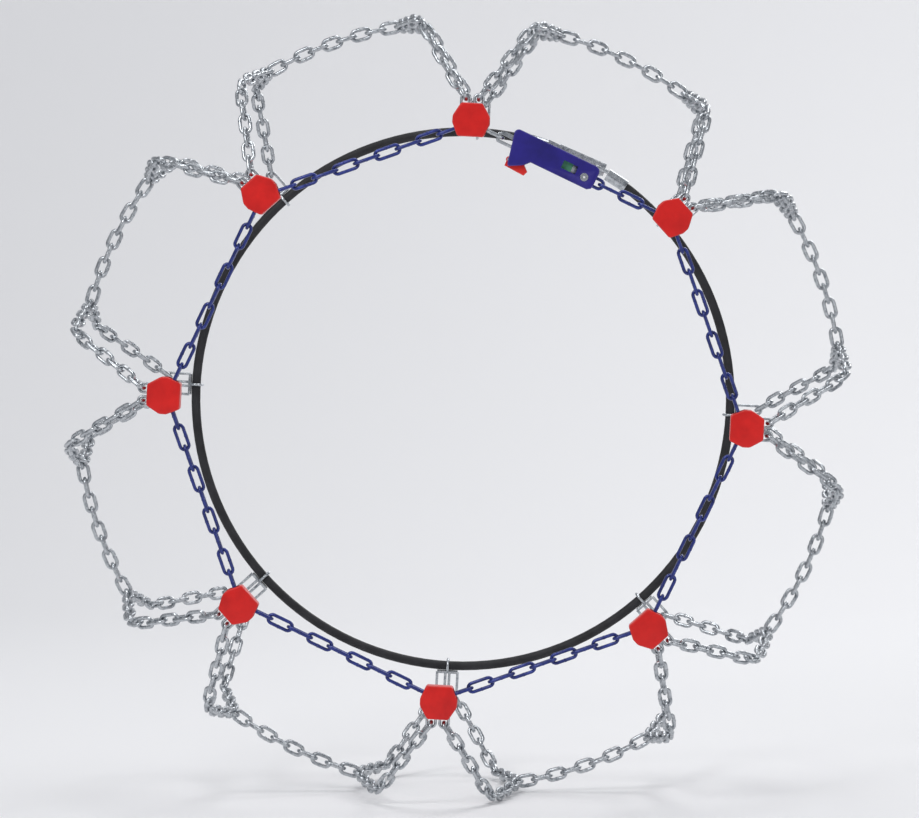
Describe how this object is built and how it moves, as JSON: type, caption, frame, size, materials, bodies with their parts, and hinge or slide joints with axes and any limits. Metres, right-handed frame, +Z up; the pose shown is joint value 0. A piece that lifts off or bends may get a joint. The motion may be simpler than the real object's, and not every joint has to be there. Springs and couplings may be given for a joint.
{
  "type": "tyre snow chain",
  "caption": "Link-chain snow net for one car tyre, with a coloured side chain, moulded connectors, a ratchet tensioner and a rear hoop that hooks shut.",
  "frame": {"origin": "centre of the wheel that the chain is fitted to, midway between the tyre's sidewalls", "axes": "Y along the wheel's axle with -Y out of the wheel's outer face, +Z up, +X to the right as seen from outside"},
  "size_m": [0.674, 0.2559, 0.674],
  "materials": {
    "red_plastic": "satin",
    "blue_plastic": "satin",
    "blue_chain": "satin",
    "galvanised_steel": "galvanised",
    "green_indicator": "matt",
    "black_sleeve": "matt"
  },
  "bodies": {
    "net": {"cross_chain_1": "galvanised_steel", "cross_chain_2": "galvanised_steel", "cross_chain_3": "galvanised_steel", "cross_chain_4": "galvanised_steel", "cross_chain_5": "galvanised_steel", "cross_chain_6": "galvanised_steel", "cross_chain_7": "galvanised_steel", "cross_chain_8": "galvanised_steel", "tread_run_1": "galvanised_steel", "tread_run_2": "galvanised_steel", "tread_run_3": "galvanised_steel", "tread_run_4": "galvanised_steel", "tread_run_5": "galvanised_steel", "tread_run_6": "galvanised_steel", "tread_run_7": "galvanised_steel", "tread_run_8": "galvanised_steel", "side_chain": "blue_chain", "tail_chain": "blue_chain", "shackle": "galvanised_steel", "hoop_cable": "black_sleeve", "hoop_ferrules": "galvanised_steel", "hoop_eye": "galvanised_steel", "hook_pin": "galvanised_steel", "housing_front": "blue_plastic", "housing_back": "blue_plastic", "pawl_pin": "galvanised_steel", "lever_pin": "galvanised_steel", "end_rivet": "galvanised_steel", "housing_screws": "galvanised_steel"},
    "connector_1": {"connector_cover_1": "red_plastic", "connector_yoke_1": "galvanised_steel"},
    "connector_2": {"connector_cover_2": "red_plastic", "connector_yoke_2": "galvanised_steel"},
    "connector_3": {"connector_cover_3": "red_plastic", "connector_yoke_3": "galvanised_steel"},
    "connector_4": {"connector_cover_4": "red_plastic", "connector_yoke_4": "galvanised_steel"},
    "connector_5": {"connector_cover_5": "red_plastic", "connector_yoke_5": "galvanised_steel"},
    "connector_6": {"connector_cover_6": "red_plastic", "connector_yoke_6": "galvanised_steel"},
    "connector_7": {"connector_cover_7": "red_plastic", "connector_yoke_7": "galvanised_steel"},
    "connector_8": {"connector_cover_8": "red_plastic", "connector_yoke_8": "galvanised_steel"},
    "clip_1": {"hoop_clip_1": "galvanised_steel"},
    "clip_2": {"hoop_clip_2": "galvanised_steel"},
    "clip_3": {"hoop_clip_3": "galvanised_steel"},
    "clip_4": {"hoop_clip_4": "galvanised_steel"},
    "clip_5": {"hoop_clip_5": "galvanised_steel"},
    "clip_6": {"hoop_clip_6": "galvanised_steel"},
    "clip_7": {"hoop_clip_7": "galvanised_steel"},
    "clip_8": {"hoop_clip_8": "galvanised_steel"},
    "hook": {"hoop_hook": "galvanised_steel"},
    "rack_slide": {"rack": "galvanised_steel", "indicator": "green_indicator"},
    "release_lever": {"release_lever": "red_plastic"},
    "pawl": {"pawl": "galvanised_steel"}
  },
  "joints": [
    {"name": "connector_1_rock", "type": "hinge", "parent": "net", "child": "connector_1", "pos_m": [0.01361, -0.12, 0.24337], "axis": [0.9984, 0, -0.0558], "range_deg": [-2.5, 2.5]},
    {"name": "connector_2_rock", "type": "hinge", "parent": "net", "child": "connector_2", "pos_m": [0.18171, -0.12, 0.16247], "axis": [0.6665, 0, -0.7455], "range_deg": [-2.5, 2.5]},
    {"name": "connector_3_rock", "type": "hinge", "parent": "net", "child": "connector_3", "pos_m": [0.24337, -0.12, -0.01361], "axis": [-0.0558, 0, -0.9984], "range_deg": [-2.5, 2.5]},
    {"name": "connector_4_rock", "type": "hinge", "parent": "net", "child": "connector_4", "pos_m": [0.16247, -0.12, -0.18171], "axis": [-0.7455, 0, -0.6665], "range_deg": [-2.5, 2.5]},
    {"name": "connector_5_rock", "type": "hinge", "parent": "net", "child": "connector_5", "pos_m": [-0.01361, -0.12, -0.24337], "axis": [-0.9984, 0, 0.0558], "range_deg": [-2.5, 2.5]},
    {"name": "connector_6_rock", "type": "hinge", "parent": "net", "child": "connector_6", "pos_m": [-0.18171, -0.12, -0.16247], "axis": [-0.6665, 0, 0.7455], "range_deg": [-2.5, 2.5]},
    {"name": "connector_7_rock", "type": "hinge", "parent": "net", "child": "connector_7", "pos_m": [-0.24337, -0.12, 0.01361], "axis": [0.0558, 0, 0.9984], "range_deg": [-2.5, 2.5]},
    {"name": "connector_8_rock", "type": "hinge", "parent": "net", "child": "connector_8", "pos_m": [-0.16247, -0.12, 0.18171], "axis": [0.7455, 0, 0.6665], "range_deg": [-2.5, 2.5]},
    {"name": "clip_1_rock", "type": "hinge", "parent": "net", "child": "clip_1", "pos_m": [0.0134, 0.12, 0.23963], "axis": [0.9984, 0, -0.0558], "range_deg": [-2.5, 2.5]},
    {"name": "clip_2_rock", "type": "hinge", "parent": "net", "child": "clip_2", "pos_m": [0.17891, 0.12, 0.15997], "axis": [0.6665, 0, -0.7455], "range_deg": [-2.5, 2.5]},
    {"name": "clip_3_rock", "type": "hinge", "parent": "net", "child": "clip_3", "pos_m": [0.23963, 0.12, -0.0134], "axis": [-0.0558, 0, -0.9984], "range_deg": [-2.5, 2.5]},
    {"name": "clip_4_rock", "type": "hinge", "parent": "net", "child": "clip_4", "pos_m": [0.15997, 0.12, -0.17891], "axis": [-0.7455, 0, -0.6665], "range_deg": [-2.5, 2.5]},
    {"name": "clip_5_rock", "type": "hinge", "parent": "net", "child": "clip_5", "pos_m": [-0.0134, 0.12, -0.23963], "axis": [-0.9984, 0, 0.0558], "range_deg": [-2.5, 2.5]},
    {"name": "clip_6_rock", "type": "hinge", "parent": "net", "child": "clip_6", "pos_m": [-0.17891, 0.12, -0.15997], "axis": [-0.6665, 0, 0.7455], "range_deg": [-2.5, 2.5]},
    {"name": "clip_7_rock", "type": "hinge", "parent": "net", "child": "clip_7", "pos_m": [-0.23963, 0.12, 0.0134], "axis": [0.0558, 0, 0.9984], "range_deg": [-2.5, 2.5]},
    {"name": "clip_8_rock", "type": "hinge", "parent": "net", "child": "clip_8", "pos_m": [-0.15997, 0.12, 0.17891], "axis": [0.7455, 0, 0.6665], "range_deg": [-2.5, 2.5]},
    {"name": "hook_swing", "type": "hinge", "parent": "net", "child": "hook", "pos_m": [0.08696, 0.12, 0.2245], "axis": [0, -1, 0], "range_deg": [0, 60]},
    {"name": "rack_travel", "type": "slide", "parent": "net", "child": "rack_slide", "axis": [-0.9011, 0, 0.4337], "range_m": [0, 0.01]},
    {"name": "lever_press", "type": "hinge", "parent": "net", "child": "release_lever", "pos_m": [0.04542, -0.12, 0.21265], "axis": [0, -1, 0], "range_deg": [0, 7], "stiffness_Nm_per_rad": 0.06, "springref_deg": -11.46},
    {"name": "pawl_lift", "type": "hinge", "parent": "net", "child": "pawl", "pos_m": [0.05537, -0.12, 0.21374], "axis": [0, -1, 0], "range_deg": [0, 17.6]}
  ],
  "couplings": [
    {"joint": "pawl_lift", "follows": "lever_press", "ratio": 2.5}
  ]
}
